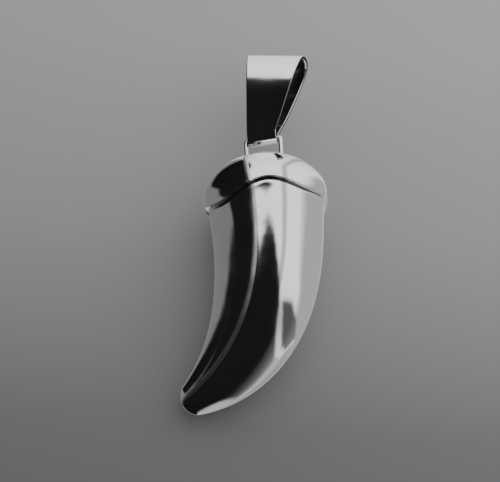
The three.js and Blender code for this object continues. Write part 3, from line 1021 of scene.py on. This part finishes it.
    def floor(self, sums, east, north):
        """What is below the window: a bright streak between two grey floors, and a bright patch."""
        off = sums.of("SUBTRACT", north, sums.curve(east, STREAK))
        streak = sums.step(sums.of("ABSOLUTE", off), 0.09, 0.03)
        streak = sums.of("MULTIPLY", streak, sums.curve(east, STREAK_TONE))
        far, near = sums.curve(east, FAR_FLOOR_TONE), sums.curve(east, NEAR_FLOOR_TONE)
        grey = sums.mix(sums.step(off, 0.0, -0.08), far, near)
        patch = sums.of("MULTIPLY", sums.step(north, -1.15, -1.3), sums.step(east, 0.05, 0.2))
        return sums.of("MAXIMUM", streak, sums.mix(patch, grey, PATCH_TONE))

    def shade(self, sums, east, north):
        """The unlit part of the room, with a dim wall at its left."""
        wall = sums.step(sums.of("SUBTRACT", east, sums.curve(north, WALL_EDGE)), 0.02, -0.04)
        wall = sums.of("MULTIPLY", wall, sums.step(north, -0.08, -0.03))
        return sums.mix(wall, SHADE_TONE, sums.curve(north, WALL_TONE))


class Sums:
    """Short ways to set down a shader's sums. Each returns the socket with the result."""

    def __init__(self, tree):
        self.tree = tree

    def node(self, kind):
        return self.tree.nodes.new(kind)

    def feed(self, socket, value):
        if isinstance(value, bpy.types.NodeSocket):
            self.tree.links.new(value, socket)
        else:
            socket.default_value = value

    def noise(self, coordinates, scale, detail):
        made = self.node("ShaderNodeTexNoise")
        made.inputs["Scale"].default_value = scale
        made.inputs["Detail"].default_value = detail
        self.tree.links.new(coordinates, made.inputs["Vector"])
        return made.outputs[0]

    def of(self, operation, *values):
        made = self.node("ShaderNodeMath")
        made.operation = operation
        for socket, value in zip(made.inputs, values):
            self.feed(socket, value)
        return made.outputs[0]

    def mix(self, part, first, second):
        made = self.node("ShaderNodeMix")
        made.data_type = "FLOAT"
        for socket, value in zip(made.inputs[0:1] + made.inputs[2:4], (part, first, second)):
            self.feed(socket, value)
        return made.outputs[0]

    def step(self, value, low, high):
        made = self.node("ShaderNodeMapRange")
        made.interpolation_type = "SMOOTHSTEP"
        self.feed(made.inputs["Value"], value)
        made.inputs["From Min"].default_value = low
        made.inputs["From Max"].default_value = high
        return made.outputs[0]

    def curve(self, value, points):
        """A line of straight stretches through points of (value, result)."""
        made = self.node("ShaderNodeFloatCurve")
        low, high = points[0][0], points[-1][0]
        line = made.mapping.curves[0]
        made.mapping.extend = "HORIZONTAL"
        line.points[0].location = (0, points[0][1])
        line.points[1].location = (1, points[-1][1])
        for place, result in points[1:-1]:
            line.points.new((place - low) / (high - low), result)
        for point in line.points:
            point.handle_type = "VECTOR"
        made.mapping.update()
        spread = self.node("ShaderNodeMapRange")
        self.feed(spread.inputs["Value"], value)
        spread.inputs["From Min"].default_value = low
        spread.inputs["From Max"].default_value = high
        self.feed(made.inputs["Value"], spread.outputs[0])
        return made.outputs[0]


OPERATORS = (
    PENDANT_OT_horn,
    PENDANT_OT_cap,
    PENDANT_OT_loop,
    PENDANT_OT_bail,
    PENDANT_OT_stage,
)


class PENDANT_PT_pieces(bpy.types.Panel):
    bl_label = "Silver horn pendant"
    bl_idname = "PENDANT_PT_pieces"
    bl_space_type = "VIEW_3D"
    bl_region_type = "UI"
    bl_category = "Pendant"

    def draw(self, context):
        for operator in OPERATORS:
            self.layout.operator(operator.bl_idname)
        for name in SETTINGS:
            group = getattr(context.scene, name)
            box = self.layout.box()
            box.label(text=name.replace("_", " ").capitalize())
            for prop in group.bl_rna.properties:
                if prop.identifier not in ("rna_type", "name"):
                    box.prop(group, prop.identifier)


def register():
    for made in (*SETTINGS.values(), *OPERATORS, PENDANT_PT_pieces):
        bpy.utils.register_class(made)
    for name, group in SETTINGS.items():
        setattr(bpy.types.Scene, name, PointerProperty(type=group))


def unregister():
    for name in SETTINGS:
        delattr(bpy.types.Scene, name)
    for made in reversed((*SETTINGS.values(), *OPERATORS, PENDANT_PT_pieces)):
        bpy.utils.unregister_class(made)


def main():
    register()
    bpy.ops.pendant.horn()
    bpy.ops.pendant.cap()
    bpy.ops.pendant.loop()
    bpy.ops.pendant.bail()
    bpy.ops.pendant.stage()
    for name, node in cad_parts.items():
        node.data.materials.clear()
        node.data.materials.append(solder() if "solder" in name else silver())


if __name__ == "__main__":
    main()
